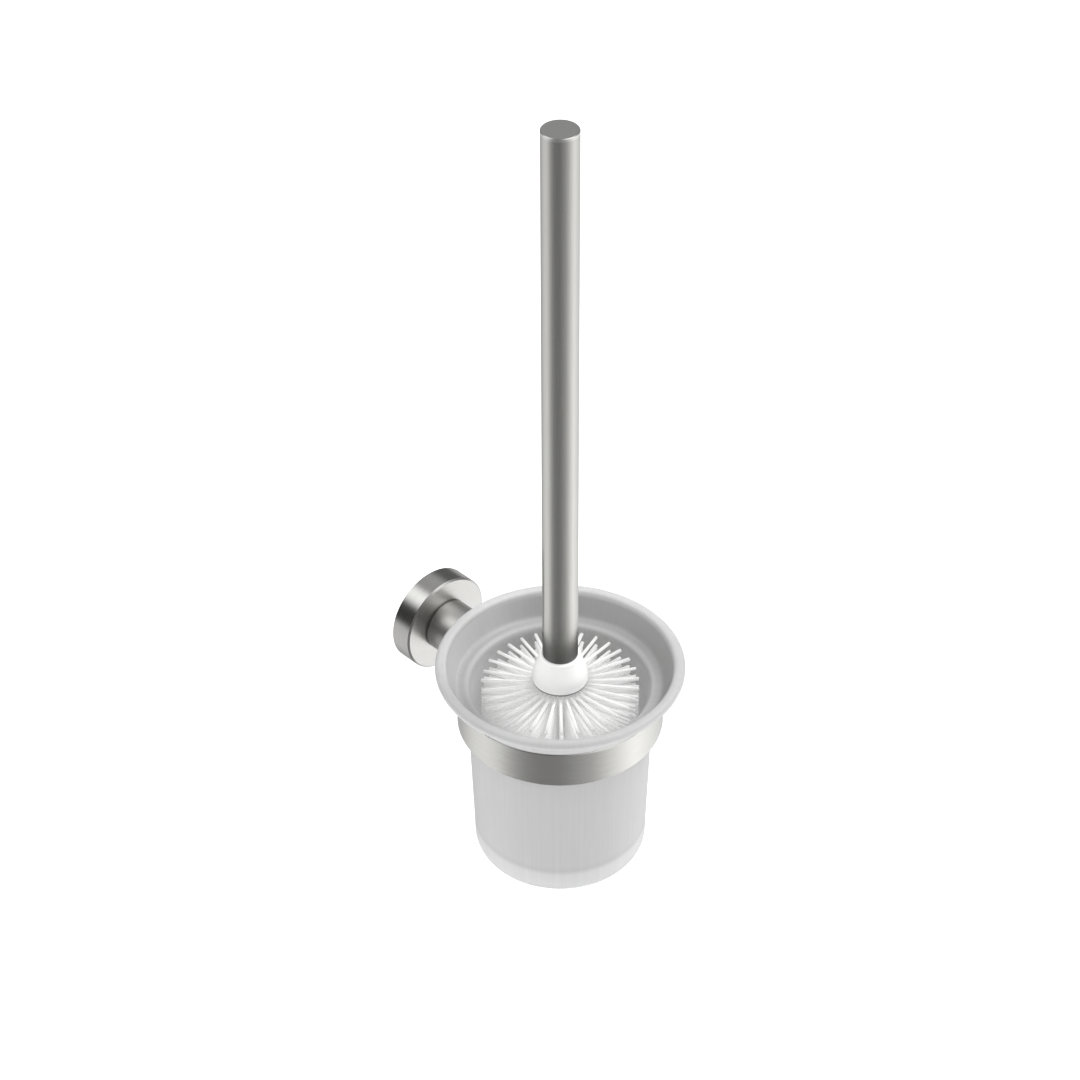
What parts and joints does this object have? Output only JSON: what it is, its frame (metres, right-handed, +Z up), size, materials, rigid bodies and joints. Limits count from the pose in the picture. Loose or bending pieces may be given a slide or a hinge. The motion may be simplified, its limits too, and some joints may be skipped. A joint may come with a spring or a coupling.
{
  "type": "wall-mounted toilet brush holder",
  "caption": "Wall-mounted toilet brush set: frosted glass cup in a metal ring on a short arm and round rosette, with a radial bristle brush on a straight tube handle.",
  "frame": {"origin": "centre of the rosette on the wall plane", "axes": "+Z up along the handle, +Y into the wall, so the holder stands out towards -Y; +X is to the right of a person facing the wall"},
  "size_m": [0.113, 0.1448, 0.3814],
  "materials": {
    "bracket_steel": "zinc plated steel plate",
    "rosette_steel": "brushed stainless steel",
    "arm_steel": "turned and brushed stainless steel",
    "screw_steel": "plain stainless screw",
    "ring_steel": "brushed stainless steel band",
    "liner_plastic": "milky soft plastic",
    "frosted_glass": "heavily frosted glass",
    "handle_steel": "satin stainless tube",
    "cap_steel": "satin stainless disc",
    "insert_brass": "machined brass bush",
    "white_plastic": "moulded white plastic",
    "bristle": "white nylon bristle"
  },
  "bodies": {
    "holder": {"wall_bracket": "bracket_steel", "rosette": "rosette_steel", "grub_screw": "screw_steel", "arm": "arm_steel", "arm_screw": "screw_steel", "holder_ring": "ring_steel", "ring_screw": "screw_steel", "ring_liner": "liner_plastic"},
    "cup": {"glass_cup": "frosted_glass"},
    "brush_handle": {"handle_tube": "handle_steel", "handle_end_cap": "cap_steel", "handle_insert": "insert_brass"},
    "brush_head": {"head_stud": "screw_steel", "brush_collar": "white_plastic", "brush_core": "white_plastic", "bristles": "bristle"}
  },
  "joints": [
    {"name": "cup_lift", "type": "slide", "parent": "holder", "child": "cup", "axis": [0, 0, 1], "range_m": [0, 0.11]},
    {"name": "brush_lift", "type": "slide", "parent": "cup", "child": "brush_handle", "axis": [0, 0, 1], "range_m": [0, 0.12]},
    {"name": "head_unscrew", "type": "hinge", "parent": "brush_handle", "child": "brush_head", "pos_m": [0, -0.0883, 0], "axis": [0, 0, -1], "range_deg": [0, 1440]}
  ]
}
